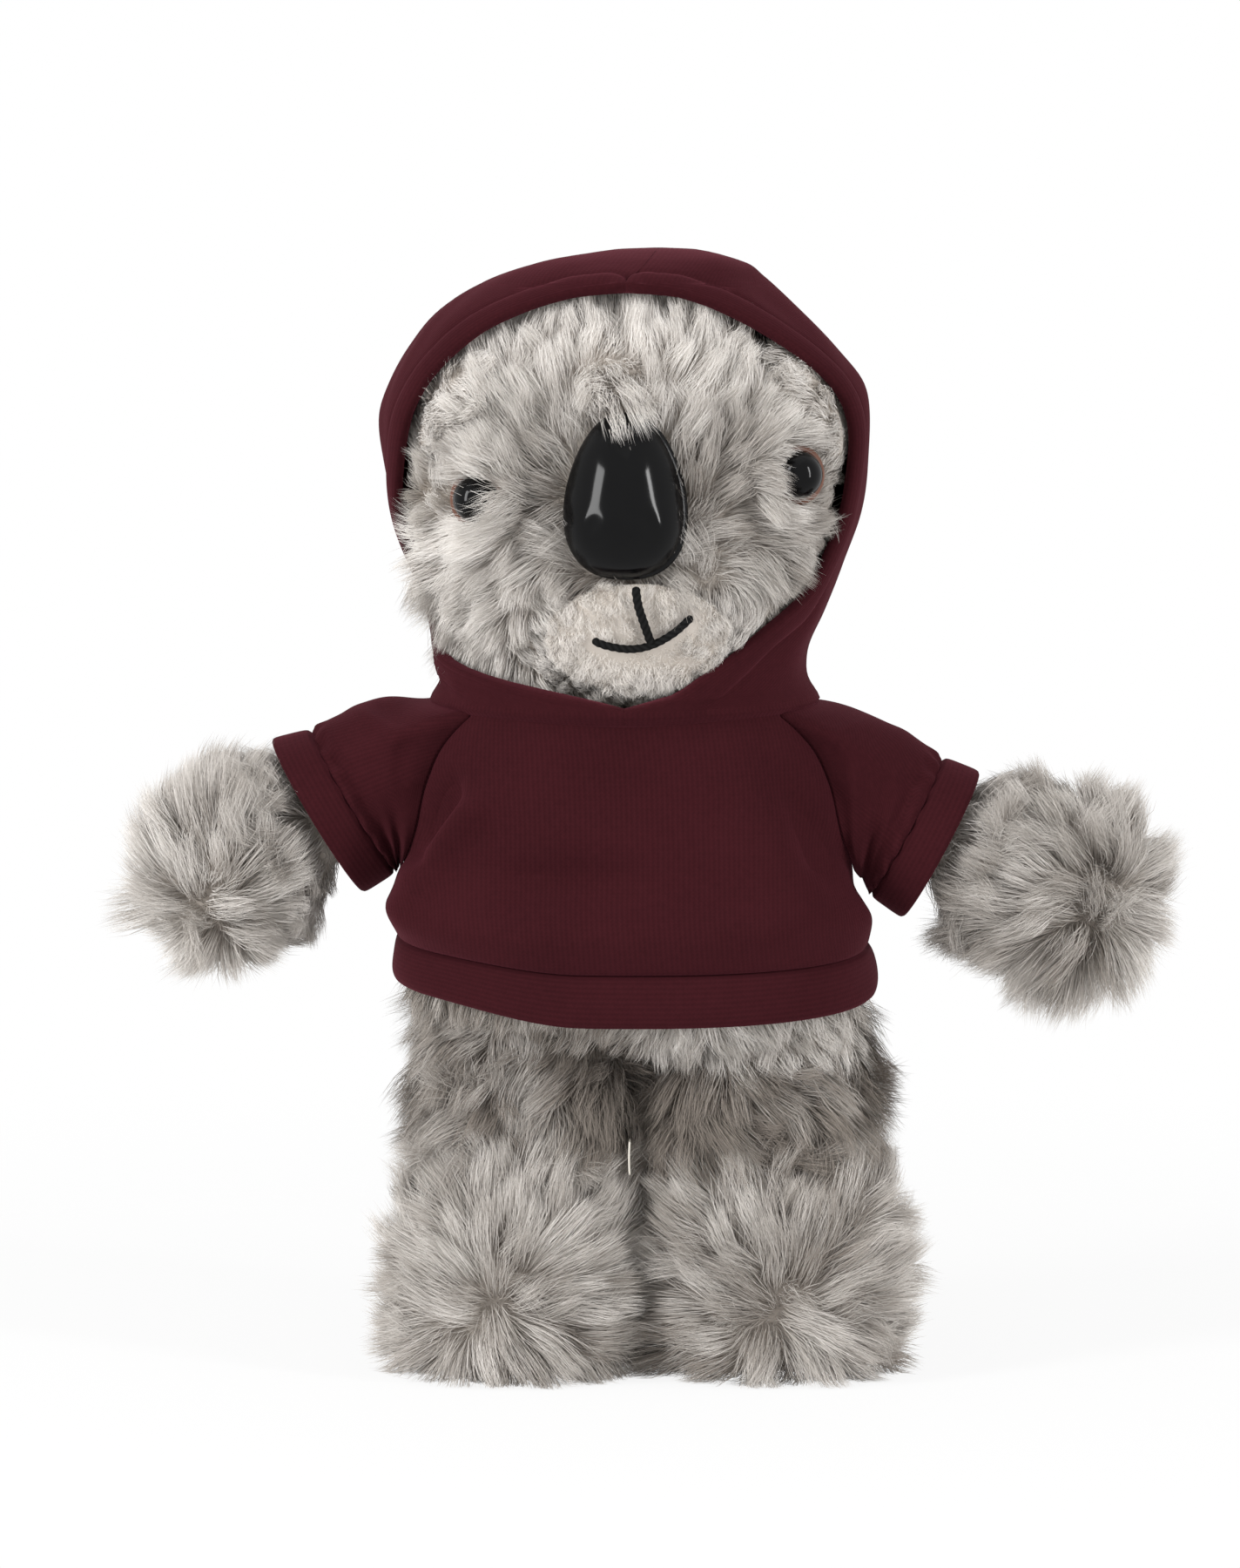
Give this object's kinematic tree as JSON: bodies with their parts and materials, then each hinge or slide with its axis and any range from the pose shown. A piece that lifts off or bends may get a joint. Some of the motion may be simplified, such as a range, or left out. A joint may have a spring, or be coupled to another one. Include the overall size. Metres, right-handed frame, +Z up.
{
  "type": "plush koala",
  "caption": "Standing plush koala in a hooded knit sweatshirt, with a large moulded nose, a sprung neck and sprung shoulders and hips.",
  "frame": {"origin": "on the ground under the middle of the toy's box", "axes": "+Z up, -Y the way the face looks, +X to the right of someone who looks at the face"},
  "size_m": [0.1805, 0.0865, 0.1996],
  "materials": {
    "grey_plush": "long pile plush, grey",
    "cream_plush": "short pile plush, cream",
    "burgundy_knit": "fine knit, burgundy",
    "black_plastic": "moulded, polished black",
    "black_thread": "embroidery thread, black",
    "white_fibre": "loose polyester fibre, white",
    "white_plastic": "moulded, plain white",
    "label_tape": "woven tape, cream, blank"
  },
  "bodies": {
    "torso": {"torso_skin": "grey_plush", "torso_stuffing": "white_fibre", "hoodie_front": "burgundy_knit", "hoodie_back": "burgundy_knit", "hem_band": "burgundy_knit", "sleeve_left": "burgundy_knit", "sleeve_right": "burgundy_knit"},
    "head": {"head_skin": "grey_plush", "head_stuffing": "white_fibre", "muzzle_panel": "cream_plush", "nose": "black_plastic", "nose_washer": "white_plastic", "eye_left": "black_plastic", "eye_right": "black_plastic", "eye_washer_left": "white_plastic", "eye_washer_right": "white_plastic", "mouth_stitch": "black_thread", "ear_left": "grey_plush", "ear_right": "grey_plush", "hood_left": "burgundy_knit", "hood_right": "burgundy_knit"},
    "arm_left": {"arm_skin_left": "grey_plush", "arm_stuffing_left": "white_fibre", "cuff_left": "burgundy_knit"},
    "arm_right": {"arm_skin_right": "grey_plush", "arm_stuffing_right": "white_fibre", "cuff_right": "burgundy_knit"},
    "leg_left": {"leg_skin_left": "grey_plush", "leg_stuffing_left": "white_fibre", "care_label": "label_tape"},
    "leg_right": {"leg_skin_right": "grey_plush", "leg_stuffing_right": "white_fibre"}
  },
  "joints": [
    {"name": "neck", "type": "hinge", "parent": "torso", "child": "head", "pos_m": [-0.0042, 0, 0.1192], "axis": [0, 0, 1], "range_deg": [-20, 20], "stiffness_Nm_per_rad": 0.2},
    {"name": "shoulder_left", "type": "hinge", "parent": "torso", "child": "arm_left", "pos_m": [-0.034, 0, 0.1025], "axis": [0, 1, 0], "range_deg": [-7, 38], "stiffness_Nm_per_rad": 0.2, "deforming": ["sleeve_left", "cuff_left"]},
    {"name": "shoulder_right", "type": "hinge", "parent": "torso", "child": "arm_right", "pos_m": [0.027, 0, 0.1048], "axis": [0, -1, 0], "range_deg": [-7, 38], "stiffness_Nm_per_rad": 0.2, "deforming": ["sleeve_right", "cuff_right"]},
    {"name": "hip_left", "type": "hinge", "parent": "torso", "child": "leg_left", "pos_m": [-0.02, -0.001, 0.062], "axis": [-1, 0, 0], "range_deg": [-12, 53], "stiffness_Nm_per_rad": 0.4},
    {"name": "hip_right", "type": "hinge", "parent": "torso", "child": "leg_right", "pos_m": [0.02, -0.001, 0.062], "axis": [-1, 0, 0], "range_deg": [-12, 53], "stiffness_Nm_per_rad": 0.4}
  ]
}
